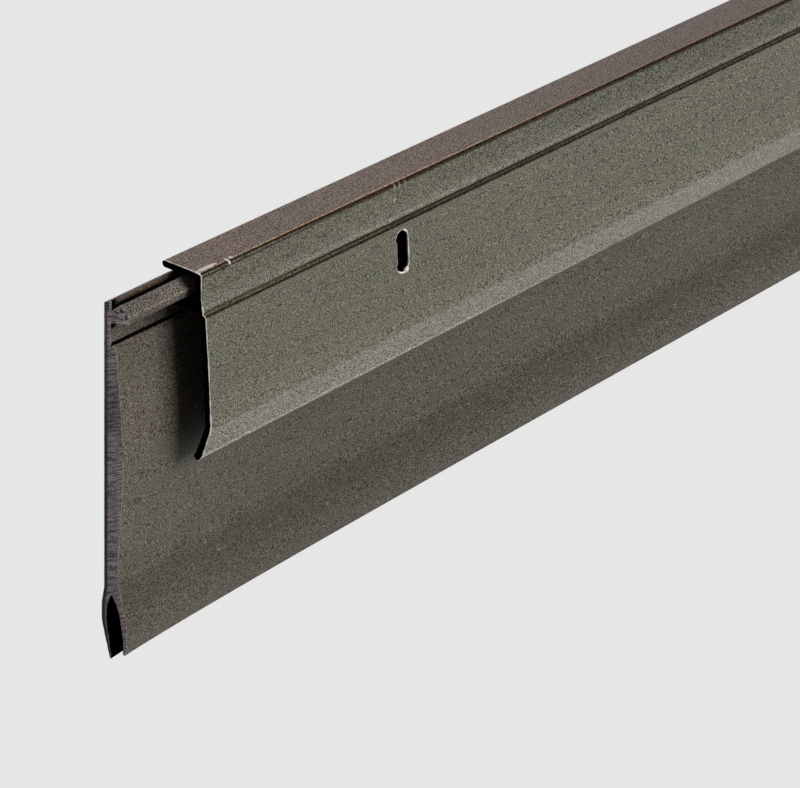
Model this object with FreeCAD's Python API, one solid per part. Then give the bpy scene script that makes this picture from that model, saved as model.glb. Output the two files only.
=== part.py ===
# Sweep for the bottom edge of a garage door, two extrusions of one length:
# an aluminium carrier that is screwed to the door, and a vinyl insert that hangs from it.
#
# Frame: X runs along the sweep, +Y points at the door and +Z up. The origin is on the door's
# face (the insert's flat back), half way along the carrier and level with its screw slots.
# Sections are drawn in two coordinates: u, the distance forward of the door's face (-Y), and z.
import FreeCAD, Part
import math
import os

# Lengths along the door
carrier_length = 914.4
insert_length = 914.4
insert_out = 14.5        # how far the insert stands out of the carrier's near end

# Screw slots in the carrier's face
slot_count = 4
slot_width = 3.6
slot_length = 8.2
slot_end_inset = 50.8    # from each end of the carrier to the middle of its first slot
slot_drop = 12.55        # from the flange's top to the middle of the slots

# Carrier: the flange over the top
flange_thickness = 1.25
nose_overhang = 0.5      # the flange's rounded back edge passes the door's face by this much
band_forward = 8.05      # the face band's distance from the door's face
corner_radius = 0.75

# Carrier: the face, from the top down
wall = 1.3
band_height = 6.7
band_flare = 0.45        # the band's bottom edge turns forward by this much
flare_height = 2.2
flare_radius = 6.0
groove_depth = 0.1
groove_height = 0.52
ledge_step = 1.05        # the face below the groove stands this far in front of the band
ledge_fall = 0.24
face_height = 20.0       # from the ledge down to the crease above the lip
face_lean = 1.5          # how much further forward the face is at the crease
face_bow = 0.12          # how far the face bulges out of its straight line
bow_radius = 70.0
crease_radius = 2.6
lip_height = 6.05
lip_return = 1.95        # the lip slopes back by this much
toe_height = 1.1
toe_return = 1.05
toe_radius = 0.5

# Insert: the head, which the carrier holds
leg_thickness = 1.45
leg_rise = 0.8           # the leg's slanted top is this much higher at its front
channel_depth = 2.0      # from the leg's front top to the bottom of the channel
channel_shift = 0.15
lobe_forward = 5.6
lobe_top_forward = 3.75
lobe_top_drop = 0.1      # the lobe's top is this much below the leg's
lobe_fall = 1.55         # its slanted front face falls by this much
lobe_front_height = 1.5
lobe_under_fall = 0.85   # its underside falls by this much towards the web
lobe_undercut = 0.2

# Insert: the web
thin_web = 1.4
thin_web_height = 4.05
slit_depth = 1.0
slit_width = 0.6
shoulder_forward = 2.65
shoulder_slope = 0.7
thick_web_forward = 4.5  # where the two straight flanks of the web's front would meet
thick_web_drop = 19.35
belly_radius = 105.0
neck_forward = 2.95
neck_drop = 23.1
neck_radius = 3.0

# Insert: the two fins below the neck
fin_root_drop = 2.2      # from the neck down to where the back fin leaves the flat back
back_fin_length = 12.35
back_fin_bulge = 0.55    # the back fin bows behind the door's face by this much
back_fin_bulge_drop = 4.5
back_fin_bulge_reach = 1.5  # the bow is full for this much above and below its middle
back_fin_tip_forward = 1.65
back_fin_root = 1.05     # thickness near the root
back_fin_tip = 0.35
back_fin_radius = 6.0
crotch_drop = 0.6        # from the back fin's start down to the top of the hollow
crotch_forward = 1.6
spread_drop = 2.2        # from the crotch down to where the hollow is half as wide as it gets
front_fin_length = 12.6
front_fin_belly = 5.15
front_fin_belly_drop = 8.3
front_fin_belly_reach = 3.0
front_fin_tip_forward = 4.85
front_fin_thickness = 0.7
front_fin_radius = 6.0

# Fits and small radii
clearance = 0.3          # between the carrier and the insert, all round
edge = 0.15
soft_edge = 0.35
round_share = 0.49       # a rounding takes at most this share of each of its sides

# Places worked out from the sizes above
flange_top = slot_drop
flange_under = flange_top - flange_thickness
head_top = flange_under - clearance
near_end = -carrier_length / 2


def rounded_edges(corners):
    """Edges of a closed outline in the plane X = 0.

    corners lists (u, z, radius). A corner's radius gives way where its two sides are too short.
    """
    points = [FreeCAD.Vector(0, -u, z) for u, z, radius in corners]
    starts = []
    edges = []
    ends = []
    for i, corner in enumerate(points):
        back = points[i - 1] - corner
        ahead = points[(i + 1) % len(points)] - corner
        half = back.getAngle(ahead) / 2
        room = round_share * min(back.Length, ahead.Length) * math.tan(half)
        radius = min(corners[i][2], room)
        reach = radius / math.tan(half)
        back.normalize()
        ahead.normalize()
        middle = back + ahead
        middle.normalize()
        start = corner + back * reach
        end = corner + ahead * reach
        crown = corner + middle * (radius / math.sin(half) - radius)
        edges.append(Part.Arc(start, crown, end).toShape())
        starts.append(start)
        ends.append(end)
    for i, end in enumerate(ends):
        edges.append(Part.LineSegment(end, starts[(i + 1) % len(starts)]).toShape())
    return edges


def extrude_section(corners, start, length):
    """Solid of the section that corners gives, from X = start over length."""
    wire = Part.Wire(Part.__sortEdges__(rounded_edges(corners)))
    face = Part.Face(wire)
    face.translate(FreeCAD.Vector(start, 0, 0))
    return face.extrude(FreeCAD.Vector(length, 0, 0))


def head_points():
    """Points of the insert's head that the carrier's inner ribs are fitted to."""
    channel_root = (leg_thickness + channel_shift, head_top - channel_depth)
    lobe_top = (lobe_top_forward, head_top - lobe_top_drop)
    lobe_front = (lobe_forward, lobe_top[1] - lobe_fall)
    lobe_bottom = (lobe_forward - lobe_undercut, lobe_front[1] - lobe_front_height)
    lobe_heel = (thin_web, lobe_bottom[1] - lobe_under_fall)
    return channel_root, lobe_top, lobe_front, lobe_bottom, lobe_heel


def carrier_section():
    """Corners of the carrier: flange, face with its groove, lip, shelf and tongue."""
    channel_root, lobe_top, _, lobe_bottom, lobe_heel = head_points()

    # Outside, from the nose over the top and down the face
    band_bottom = flange_top - band_height
    flare_forward = band_forward + band_flare
    root_forward = flare_forward - groove_depth
    root_height = band_bottom - groove_height
    ledge_forward = band_forward + ledge_step
    ledge_height = root_height - ledge_fall
    crease_height = ledge_height - face_height
    crease_forward = ledge_forward + face_lean
    bow_forward = ledge_forward + face_lean / 2 + face_bow
    lip_forward = crease_forward - lip_return
    lip_bottom = crease_height - lip_height
    toe_forward = lip_forward - toe_return
    toe_bottom = lip_bottom - toe_height
    nose_radius = flange_thickness / 2
    outside = [
        (-nose_overhang, flange_under, nose_radius),
        (-nose_overhang, flange_top, nose_radius),
        (band_forward, flange_top, corner_radius),
        (band_forward, band_bottom + flare_height, flare_radius),
        (flare_forward, band_bottom, edge),
        (root_forward, root_height, edge),
        (ledge_forward, ledge_height, soft_edge),
        (bow_forward, ledge_height - face_height / 2, bow_radius),
        (crease_forward, crease_height, crease_radius),
        (lip_forward, lip_bottom, toe_radius + wall),
        (toe_forward, toe_bottom, toe_radius),
    ]

    # Inside, from the toe back up to the flange
    toe_length = math.hypot(toe_return, toe_height)
    toe_inside = (
        toe_forward - wall * toe_height / toe_length,
        toe_bottom + wall * toe_return / toe_length,
    )
    inner_face = band_forward - wall
    shelf_slope = (lobe_bottom[1] - lobe_heel[1]) / (lobe_bottom[0] - lobe_heel[0])
    shelf_tip = thin_web + clearance
    shelf_gap = clearance * math.hypot(1, shelf_slope)
    shelf_tip_top = lobe_heel[1] - shelf_gap + shelf_slope * clearance
    shelf_root_top = shelf_tip_top + shelf_slope * (inner_face - shelf_tip)
    shelf_under = shelf_tip_top - wall
    channel_slope = (lobe_top[1] - channel_root[1]) / (lobe_top[0] - channel_root[0])
    flank_shift = clearance * math.hypot(1, channel_slope) / channel_slope
    tongue_back = channel_root[0] + clearance
    tongue_tip = channel_root[1] + clearance + channel_slope * flank_shift
    tongue_tip_front = channel_root[0] + (tongue_tip - channel_root[1]) / channel_slope - flank_shift
    tongue_root_front = channel_root[0] + (flange_under - channel_root[1]) / channel_slope - flank_shift
    inside = [
        (toe_inside[0], toe_inside[1], toe_radius),
        (lip_forward - wall, lip_bottom + wall / 2, toe_radius),
        (crease_forward - wall, crease_height, crease_radius - wall),
        (bow_forward - wall, ledge_height - face_height / 2, bow_radius),
        (ledge_forward - wall, shelf_under, soft_edge),
        (shelf_tip, shelf_under, wall / 2),
        (shelf_tip, shelf_tip_top, wall / 2),
        (inner_face, shelf_root_top, soft_edge),
        (inner_face, flange_under, soft_edge),
        (tongue_root_front, flange_under, edge),
        (tongue_tip_front, tongue_tip, edge),
        (tongue_back, tongue_tip, edge),
        (tongue_back, flange_under, edge),
    ]
    return outside + inside


def slot_cutters():
    """One slotted prism per screw, upright, right through the carrier's face."""
    radius = slot_width / 2
    half = slot_length / 2 - radius
    inner = -(band_forward - wall)
    outer = -(band_forward + ledge_step + face_lean + face_bow + wall)
    spacing = (carrier_length - 2 * slot_end_inset) / max(slot_count - 1, 1)
    cutters = []
    for i in range(slot_count):
        x = near_end + slot_end_inset + i * spacing
        left_low = FreeCAD.Vector(x - radius, inner, -half)
        left_high = FreeCAD.Vector(x - radius, inner, half)
        right_low = FreeCAD.Vector(x + radius, inner, -half)
        right_high = FreeCAD.Vector(x + radius, inner, half)
        top = FreeCAD.Vector(x, inner, half + radius)
        bottom = FreeCAD.Vector(x, inner, -half - radius)
        wire = Part.Wire([
            Part.LineSegment(left_low, left_high).toShape(),
            Part.Arc(left_high, top, right_high).toShape(),
            Part.LineSegment(right_high, right_low).toShape(),
            Part.Arc(right_low, bottom, left_low).toShape(),
        ])
        cutters.append(Part.Face(wire).extrude(FreeCAD.Vector(0, outer - inner, 0)))
    return cutters


def make_carrier():
    """The aluminium extrusion with its punched slots."""
    body = extrude_section(carrier_section(), near_end, carrier_length)
    return body.cut(slot_cutters())


def insert_section():
    """Corners of the insert: head, web, neck and the two fins with the hollow between them."""
    channel_root, lobe_top, lobe_front, lobe_bottom, lobe_heel = head_points()
    back_top = head_top - leg_rise
    shoulder_top = lobe_heel[1] - thin_web_height
    shoulder_front = shoulder_top - shoulder_slope
    neck_height = shoulder_front - thick_web_drop - neck_drop
    fin_root = neck_height - fin_root_drop
    back_tip = fin_root - back_fin_length
    front_tip = neck_height - front_fin_length
    crotch = fin_root - crotch_drop
    bulge_height = fin_root - back_fin_bulge_drop
    belly_height = fin_root - front_fin_belly_drop
    fin_flank = (crotch_forward + front_fin_belly) / 2
    head = [
        (0, back_top, edge),
        (leg_thickness, head_top, edge),
        (channel_root[0], channel_root[1], edge),
        (lobe_top[0], lobe_top[1], soft_edge),
        (lobe_front[0], lobe_front[1], soft_edge),
        (lobe_bottom[0], lobe_bottom[1], soft_edge),
        (lobe_heel[0], lobe_heel[1], soft_edge),
    ]
    web = [
        (thin_web, shoulder_top - slit_depth, slit_width / 4),
        (thin_web + slit_width, shoulder_top, edge),
        (shoulder_forward, shoulder_front, soft_edge),
        (thick_web_forward, shoulder_front - thick_web_drop, belly_radius),
        (neck_forward, neck_height, neck_radius),
    ]
    front_fin = [
        (fin_flank + front_fin_thickness, crotch - spread_drop / 2, neck_radius),
        (front_fin_belly, belly_height + front_fin_belly_reach, front_fin_radius),
        (front_fin_belly, belly_height, front_fin_radius),
        (front_fin_tip_forward, front_tip, edge),
        (front_fin_tip_forward - front_fin_thickness + edge, front_tip, edge),
        (front_fin_belly - front_fin_thickness, belly_height, front_fin_radius),
        (fin_flank, crotch - spread_drop, front_fin_radius),
        (crotch_forward, crotch, soft_edge),
    ]
    back_fin = [
        (back_fin_root - back_fin_bulge, bulge_height + back_fin_bulge_reach, back_fin_radius),
        (back_fin_root - back_fin_bulge, bulge_height - back_fin_bulge_reach, back_fin_radius),
        (back_fin_tip_forward, back_tip, edge / 2),
        (back_fin_tip_forward - back_fin_tip, back_tip + back_fin_tip, edge),
        (-back_fin_bulge, bulge_height - back_fin_bulge_reach, back_fin_radius),
        (-back_fin_bulge, bulge_height + back_fin_bulge_reach, back_fin_radius),
        (0, fin_root, neck_radius),
    ]
    return head + web + front_fin + back_fin


def make_insert():
    """The vinyl extrusion, drawn out of the carrier's near end."""
    return extrude_section(insert_section(), near_end - insert_out, insert_length)


os.makedirs("parts", exist_ok=True)
make_carrier().exportStep("parts/aluminium_carrier.step")
make_insert().exportStep("parts/vinyl_insert.step")
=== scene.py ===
"""Looks of a garage door sweep: a satin bronze aluminium carrier and the brown vinyl insert that it holds.

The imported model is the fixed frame. The carrier keeps its own mesh and gets its finish, the burrs of its sawn
ends and the rims of its punched slots. The insert is skinned again round its own section, so that its cut end
can droop and show the saw's marks.
"""
from __future__ import annotations

import logging
import math
from collections.abc import Iterable, Sequence
from dataclasses import dataclass, field
from enum import Enum
from typing import Any, ClassVar

import bmesh
import bpy
import numpy as np
from mathutils import Matrix, Vector, noise


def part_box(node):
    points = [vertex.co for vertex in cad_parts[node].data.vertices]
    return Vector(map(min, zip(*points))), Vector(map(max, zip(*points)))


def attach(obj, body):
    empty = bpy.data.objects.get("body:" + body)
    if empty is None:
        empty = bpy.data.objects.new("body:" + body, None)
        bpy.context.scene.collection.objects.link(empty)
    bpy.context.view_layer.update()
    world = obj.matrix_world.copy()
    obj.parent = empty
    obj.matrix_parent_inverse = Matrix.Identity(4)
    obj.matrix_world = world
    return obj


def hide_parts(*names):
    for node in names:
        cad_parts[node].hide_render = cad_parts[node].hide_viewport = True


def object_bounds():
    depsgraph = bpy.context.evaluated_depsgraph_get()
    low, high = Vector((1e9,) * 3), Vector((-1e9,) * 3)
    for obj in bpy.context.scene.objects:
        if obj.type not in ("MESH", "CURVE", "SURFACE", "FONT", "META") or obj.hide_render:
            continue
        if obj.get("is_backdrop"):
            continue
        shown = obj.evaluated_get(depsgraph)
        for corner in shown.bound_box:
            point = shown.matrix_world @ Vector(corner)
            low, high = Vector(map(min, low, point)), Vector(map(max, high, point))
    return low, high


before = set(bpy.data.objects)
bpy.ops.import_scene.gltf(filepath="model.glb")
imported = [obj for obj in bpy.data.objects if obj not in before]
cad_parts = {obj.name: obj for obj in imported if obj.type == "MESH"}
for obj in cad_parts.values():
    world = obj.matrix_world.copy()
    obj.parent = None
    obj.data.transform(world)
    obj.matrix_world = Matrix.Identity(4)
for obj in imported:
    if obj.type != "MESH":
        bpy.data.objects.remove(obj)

MM = 0.001
LOG = logging.getLogger("sweep")

Colour = tuple[float, float, float]
Line = list[Vector]


class End(Enum):
    """The two cut ends of the sweep, by the sign of X."""

    NEAR = -1
    FAR = 1


class Graph:
    """Short calls that build a node tree."""

    def __init__(self, tree: bpy.types.NodeTree) -> None:
        """Keep the tree that the nodes go into."""
        self.tree = tree

    def add(self, kind: str, inputs: dict[Any, Any] | None = None, **settings: Any) -> bpy.types.Node:
        """Add a node.

        Args:
            kind: The node's type.
            inputs: Numbers, or other nodes' sockets, for its inputs.
            settings: Properties to set first.

        Returns:
            The new node.
        """
        node = self.tree.nodes.new(kind)
        for name, value in settings.items():
            setattr(node, name, value)
        for name, value in (inputs or {}).items():
            self.feed(node.inputs[name], value)
        return node

    def feed(self, socket: bpy.types.NodeSocket, value: Any) -> None:
        """Set an input to a number or link it to a socket."""
        if isinstance(value, bpy.types.NodeSocket):
            self.tree.links.new(value, socket)
        elif socket.type == "RGBA" and len(value) == 3:
            socket.default_value = (*value, 1.0)
        else:
            socket.default_value = value

    def math(self, operation: str, first: Any, second: Any = 0.0, clamp: bool = False) -> bpy.types.NodeSocket:
        """Work out one number from one or two others."""
        return self.add("ShaderNodeMath", {0: first, 1: second}, operation=operation, use_clamp=clamp).outputs[0]

    def product(self, *values: Any) -> bpy.types.NodeSocket:
        """Multiply several numbers."""
        result = values[0]
        for value in values[1:]:
            result = self.math("MULTIPLY", result, value)
        return result

    def highest(self, values: Sequence[Any]) -> Any:
        """Return the largest of several numbers."""
        result = values[0]
        for value in values[1:]:
            result = self.math("MAXIMUM", result, value)
        return result

    def step(self, value: Any, low: float, high: float) -> bpy.types.NodeSocket:
        """Rise smoothly from 0 at low to 1 at high, or fall where low is the larger."""
        inputs = {"Value": value, "From Min": low, "From Max": high}
        return self.add("ShaderNodeMapRange", inputs, interpolation_type="SMOOTHSTEP").outputs["Result"]

    def band(self, value: Any, low: float, high: float, soft: float) -> bpy.types.NodeSocket:
        """Return 1 between low and high, and 0 outside, over a soft edge."""
        return self.math("MULTIPLY", self.step(value, low - soft, low), self.step(value, high + soft, high))

    def spread(self, value: Any, low: float, high: float) -> bpy.types.NodeSocket:
        """Spread a number from 0 to 1 over the range from low to high."""
        return self.add("ShaderNodeMapRange", {"Value": value, "To Min": low, "To Max": high}).outputs["Result"]

    def noise(self, place: Any, scale: float, detail: float = 2.0, roughness: float = 0.5) -> bpy.types.NodeSocket:
        """Return noise of about scale features in each unit of place."""
        inputs = {"Vector": place, "Scale": scale, "Detail": detail, "Roughness": roughness}
        return self.add("ShaderNodeTexNoise", inputs).outputs["Fac"]

    def stretch(self, place: Any, factors: Sequence[float]) -> bpy.types.NodeSocket:
        """Scale a place along each axis."""
        return self.add("ShaderNodeVectorMath", {0: place, 1: tuple(factors)}, operation="MULTIPLY").outputs[0]

    def mix(self, share: Any, first: Any, second: Any) -> bpy.types.NodeSocket:
        """Mix two colours."""
        return self.add("ShaderNodeMix", {0: share, 6: first, 7: second}, data_type="RGBA").outputs[2]

    def tint(self, colour: Any, factor: Any) -> bpy.types.NodeSocket:
        """Multiply a colour by a grey or another colour."""
        inputs = {0: 1.0, 6: colour, 7: factor}
        return self.add("ShaderNodeMix", inputs, data_type="RGBA", blend_type="MULTIPLY").outputs[2]

    def grey(self, value: Any) -> bpy.types.NodeSocket:
        """Make a grey of one number."""
        return self.add("ShaderNodeCombineColor", {0: value, 1: value, 2: value}).outputs[0]


@dataclass(frozen=True)
class Surface:
    """What a finish reads of the surface: its place in millimetres and its normal."""

    place: bpy.types.NodeSocket
    x: bpy.types.NodeSocket
    y: bpy.types.NodeSocket
    z: bpy.types.NodeSocket
    across: bpy.types.NodeSocket
    forward: bpy.types.NodeSocket
    up: bpy.types.NodeSocket


def read_surface(graph: Graph) -> Surface:
    """Add the nodes that give a surface's place and normal.

    Args:
        graph: The material's tree.

    Returns:
        The place in millimetres, its parts, and how far the normal turns to +X, -Y and +Z.
    """
    coordinates = graph.add("ShaderNodeTexCoord")
    place = graph.stretch(coordinates.outputs["Object"], (1 / MM, 1 / MM, 1 / MM))
    parts = graph.add("ShaderNodeSeparateXYZ", {0: place}).outputs
    normal = graph.add("ShaderNodeSeparateXYZ", {0: coordinates.outputs["Normal"]}).outputs
    return Surface(place, parts[0], parts[1], parts[2], normal[0], graph.math("MULTIPLY", normal[1], -1.0), normal[2])


def new_material(name: str) -> tuple[bpy.types.Material, Graph, bpy.types.Node]:
    """Make an empty material.

    Args:
        name: The material's name.

    Returns:
        The material, its tree and its surface shader.
    """
    material = bpy.data.materials.new(name)
    material.use_nodes = True
    graph = Graph(material.node_tree)
    return material, graph, material.node_tree.nodes["Principled BSDF"]


@dataclass(frozen=True)
class Chip:
    """A spot where the finish is knocked off.

    Attributes:
        place: Its middle, in millimetres.
        reach: How far it goes along X, Y and Z, in millimetres.
        strength: How bare it is.
    """

    place: Colour
    reach: Colour
    strength: float = 1.0


def spots(graph: Graph, place: Any, chips: Sequence[Chip], ragged: float = 0.35) -> Any:
    """Mask some spots with torn edges.

    Args:
        graph: The material's tree.
        place: The place, in millimetres.
        chips: The spots.
        ragged: How far their edges stray, as a share of their reach.

    Returns:
        A number from 0, outside, to a spot's strength inside.
    """
    torn = graph.spread(graph.noise(place, 3.0, 3.0, 0.7), -ragged, ragged)
    masks = []
    for chip in chips:
        offset = graph.add("ShaderNodeVectorMath", {0: place, 1: chip.place}, operation="SUBTRACT")
        scaled = graph.stretch(offset.outputs[0], [1 / reach for reach in chip.reach])
        distance = graph.add("ShaderNodeVectorMath", {0: scaled}, operation="LENGTH").outputs["Value"]
        masks.append(graph.math("MULTIPLY", graph.step(graph.math("ADD", distance, torn), 1.0, 0.8), chip.strength))
    return graph.highest(masks)


@dataclass(frozen=True)
class SlotRow:
    """Where the slots are, in millimetres.

    Attributes:
        first: X of the first slot's middle.
        spacing: From each slot to the next.
        count: How many there are.
        width: A slot's width.
        length: Its length.
        face: How far its mouth stands in front of the door's face, at its middle.
        lean: How much further forward the mouth is for each millimetre down.
    """

    first: float
    spacing: float
    count: int
    width: float
    length: float
    face: float
    lean: float


@dataclass(frozen=True)
class Profile:
    """Where the carrier's corners are, in millimetres.

    Attributes:
        near: X of its near end.
        top: The flange's height.
        corner: How far the corner below the flange stands in front of the door's face.
        groove: Height of the flare's lower edge, above the groove.
        ledge: How far the ledge's corner stands in front of the door's face.
        lip: Height of the lip's lower edge.
    """

    near: float
    top: float
    corner: float = 8.05
    groove: float = 5.85
    ledge: float = 9.12
    lip: float = -21.1


@dataclass(frozen=True)
class BronzeFinish:
    """Satin dark bronze on aluminium, chipped in places along its corners, with painted highlights, painted reflections
    and painted shade on its corners, groove and lip.
    """

    face: Colour = (0.229, 0.222, 0.177)
    # Painted reflection: the browner tone of the flange's flat top.
    top: Colour = (0.209, 0.160, 0.122)
    # Painted dark reflections along the rounded corner below the flange.
    corner: Colour = (0.120, 0.078, 0.042)
    # Painted shade in the groove's dark lines and on its unlit ledge.
    crease_shade: Colour = (0.070, 0.064, 0.042)
    # Painted highlight along the flange's front margin.
    edge: Colour = (0.820, 0.500, 0.290)
    # Painted highlight on the groove's lit ledge.
    ledge: Colour = (0.900, 0.680, 0.480)
    # Painted shade in the groove's riser and in a thin line below the corner.
    groove: Colour = (0.036, 0.024, 0.011)
    # Painted shade, very dark and dull, on the sawn end faces and deep in the slots.
    cut: Colour = (0.002, 0.002, 0.002)
    # Bare metal of the chips and the slots' mouths, also used for the painted highlight on the lip's lower edge.
    bare: Colour = (0.780, 0.740, 0.720)
    metal: float = 1.0
    roughness: float = 0.34
    grain_per_mm: float = 4.8
    grain: float = 0.62
    hue: float = 0.08
    bump: float = 0.05
    chips: tuple[Chip, ...] = ()

    def hues(self, graph: Graph, value: Any) -> bpy.types.NodeSocket:
        """Return a slight tint that wavers between pink and green."""
        pink = (1 + self.hue, 1 - self.hue / 2, 1.0)
        green = (1 - self.hue, 1 + self.hue / 2, 1.0)
        return graph.mix(graph.step(value, 0.38, 0.62), pink, green)

    def slot_masks(self, graph: Graph, surface: Surface, slots: SlotRow) -> tuple[Any, Any]:
        """Return 1 on the slots' inner walls: near their mouths, and deeper, where the painted shade goes."""
        shifted = graph.math("SUBTRACT", surface.x, slots.first - slots.spacing / 2)
        turn = graph.math("FLOORED_MODULO", shifted, slots.spacing)
        aside = graph.math("SUBTRACT", turn, slots.spacing / 2)
        straight = (slots.length - slots.width) / 2
        above = graph.math("MAXIMUM", graph.math("SUBTRACT", graph.math("ABSOLUTE", surface.z), straight), 0.0)
        flat = graph.add("ShaderNodeCombineXYZ", {0: aside, 1: above})
        distance = graph.add("ShaderNodeVectorMath", {0: flat.outputs[0]}, operation="LENGTH").outputs["Value"]
        inside = graph.math("LESS_THAN", distance, slots.width / 2 + 0.03)
        mouth = graph.math("ADD", graph.math("MULTIPLY", surface.z, slots.lean), -slots.face)
        depth = graph.math("SUBTRACT", surface.y, mouth)
        return graph.product(inside, graph.step(depth, 0.55, 0.30)), graph.product(inside, graph.step(depth, 0.30, 0.55))

    @staticmethod
    def painted_margin_glint(graph: Graph, surface: Surface, shape: Profile, grain: Any) -> Any:
        """Return the painted highlight along the flange's front margin."""
        margin = graph.band(surface.y, -shape.corner + 0.54, -shape.corner + 0.78, 0.07)
        away = graph.spread(graph.step(surface.x, shape.near + 70.0, shape.near + 130.0), 0.86, 0.52)
        above = graph.product(graph.step(surface.up, 0.70, 0.82), graph.step(surface.z, shape.top - 1.6, shape.top - 0.3))
        return graph.product(margin, above, away, graph.spread(grain, 0.75, 1.0))

    def corner_tones(self, graph: Graph, surface: Surface, shape: Profile, colour: Any, margin: Any) -> Any:
        """Draw the flange with the painted reflection on its top, the painted highlight along its front margin, and the
        painted dark reflections, highlight and shade of the rounded corner.
        """
        upper = graph.step(surface.z, shape.top - 1.6, shape.top - 0.3)
        # Painted reflection: the flat top takes the browner tone.
        flat = graph.math("MULTIPLY", graph.step(surface.up, 0.75, 0.99), upper)
        colour = graph.mix(flat, colour, self.top)
        # Painted dark reflections along the corner's arc.
        beside = graph.step(surface.x, shape.near + 50.0, shape.near + 14.0)
        drift = graph.step(surface.x, shape.near + 15.0, shape.near + 40.0)
        turn = graph.math("ADD", surface.up, graph.math("MULTIPLY", drift, 0.06))
        turned = graph.band(turn, 0.76, 0.965, 0.025)
        strip = graph.math("MULTIPLY", graph.band(turn, 0.10, 0.76, 0.04), graph.spread(beside, 0.78, 0.0))
        away = graph.spread(graph.step(surface.x, shape.near - 60.0, shape.near + 130.0), 1.02, 0.66)
        dark = graph.product(graph.highest([turned, strip]), upper, away)
        colour = graph.mix(dark, colour, self.corner)
        # Painted highlight in the middle of the arc, near the cut end.
        light = graph.product(graph.band(turn, 0.10, 0.70, 0.04), beside, upper, 0.6)
        colour = graph.tint(colour, graph.grey(graph.math("ADD", light, 1.0)))
        # Painted shade: a thin dark line where the arc meets the face.
        level = graph.math("SUBTRACT", surface.z, graph.math("MULTIPLY", drift, 0.12))
        below = graph.band(level, shape.top - 0.80, shape.top - 0.52, 0.06)
        below = graph.product(below, graph.step(surface.forward, 0.5, 0.8), away, graph.spread(drift, 1.0, 0.62))
        colour = graph.mix(below, colour, self.groove)
        # Painted highlight along the front margin.
        return graph.mix(margin, colour, self.edge)

    @staticmethod
    def lit_ledge(graph: Graph, surface: Surface, shape: Profile, grain: Any) -> Any:
        """Return how far the groove's ledge takes the painted highlight."""
        on_ledge = graph.band(surface.z, shape.groove - 1.2, shape.groove, 0.1)
        on_ledge = graph.math("MULTIPLY", on_ledge, graph.step(surface.up, 0.6, 0.85))
        lit = graph.band(surface.y, -shape.ledge + 0.30, -shape.ledge + 0.70, 0.05)
        beside = graph.spread(graph.step(surface.x, shape.near + 60.0, shape.near + 20.0), 0.55, 1.0)
        return graph.product(on_ledge, lit, beside, graph.spread(grain, 0.6, 1.0))

    def groove_tones(self, graph: Graph, surface: Surface, shape: Profile, colour: Any, lit: Any) -> Any:
        """Draw the groove's painted light and shade: the lit ledge, its dark lines and the bright strip above them."""
        front = graph.step(surface.forward, 0.5, 0.8)
        # Painted highlight on the flare above the groove.
        flare = graph.product(graph.band(surface.z, shape.groove + 0.38, shape.groove + 0.68, 0.24), front)
        beside = graph.step(surface.x, shape.near + 14.0, shape.near + 40.0)
        flare = graph.product(flare, graph.spread(beside, 0.12, 0.38))
        colour = graph.tint(colour, graph.grey(graph.math("ADD", flare, 1.0)))
        # Painted shade on the ledge, except where the painted highlight lights it.
        on_ledge = graph.product(
            graph.step(surface.up, 0.6, 0.85), graph.band(surface.z, shape.groove - 1.2, shape.groove, 0.1)
        )
        colour = graph.mix(on_ledge, colour, graph.mix(lit, self.crease_shade, self.ledge))
        # Painted shade: a dark line at the ledge's corner.
        away = graph.spread(graph.step(surface.x, shape.near + 25.0, shape.near + 120.0), 0.68, 0.28)
        edge = graph.product(graph.band(surface.z, shape.groove - 1.0, shape.groove - 0.68, 0.05), away)
        edge = graph.product(edge, graph.step(surface.y, -shape.ledge + 0.26, -shape.ledge + 0.16))
        colour = graph.mix(edge, colour, self.crease_shade)
        # Painted shade in the riser under the flare.
        riser = graph.product(graph.band(surface.z, shape.groove - 0.44, shape.groove - 0.06, 0.04), front)
        return graph.mix(graph.math("MULTIPLY", riser, graph.spread(beside, 0.35, 0.92)), colour, self.groove)

    def lower_tones(self, graph: Graph, surface: Surface, shape: Profile, colour: Any, grain: Any) -> Any:
        """Lighten the face towards its lip with a painted reflection, and paint a highlight along the lip's lower edge.
        """
        # Painted reflection: the face lighter low down, towards its lip.
        low = graph.product(graph.step(surface.z, -7.0, -15.5), graph.step(surface.up, -0.15, -0.05))
        colour = graph.tint(colour, graph.grey(graph.spread(low, 1.0, 1.14)))
        # Painted highlight along the lip's lower edge, in the bare colour.
        painted_glint = graph.product(graph.step(surface.z, shape.lip + 0.85, shape.lip + 0.45), graph.spread(grain, 0.25, 0.75))
        beside = graph.spread(graph.step(surface.x, shape.near + 130.0, shape.near + 60.0), 0.04, 0.5)
        painted_glint = graph.product(painted_glint, graph.step(surface.forward, 0.4, 0.7), beside)
        return graph.mix(painted_glint, colour, self.bare)

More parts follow.
